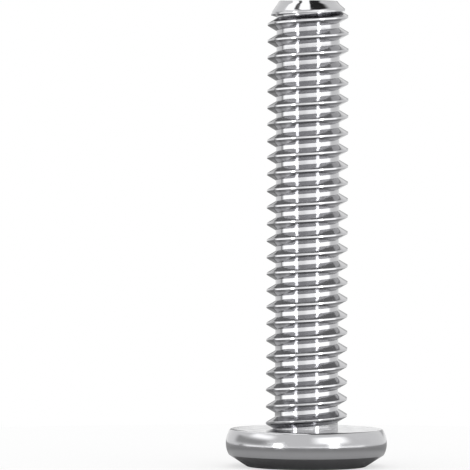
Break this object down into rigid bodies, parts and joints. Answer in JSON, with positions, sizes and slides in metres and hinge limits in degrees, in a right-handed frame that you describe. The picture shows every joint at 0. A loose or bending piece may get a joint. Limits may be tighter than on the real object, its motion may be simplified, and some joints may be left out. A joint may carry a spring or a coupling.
{
  "type": "socket head furniture screw",
  "caption": "Bright plated steel furniture screw with a thin chamfered disc head, a hex socket and a full right-hand coarse thread, for joining panels and frames.",
  "frame": {"origin": "centre of the head's flat face, on the surface that the screw stands on", "axes": "+Z along the shank, from the head's face to the tip; +X towards a corner of the hex socket; +Y completes a right-handed set"},
  "size_m": [0.0124, 0.0124, 0.0356],
  "materials": {
    "bright_plated_steel": "polished and bright plated, with a fine turned lay on the face"
  },
  "bodies": {
    "root": {"screw": "bright_plated_steel"}
  },
  "joints": []
}
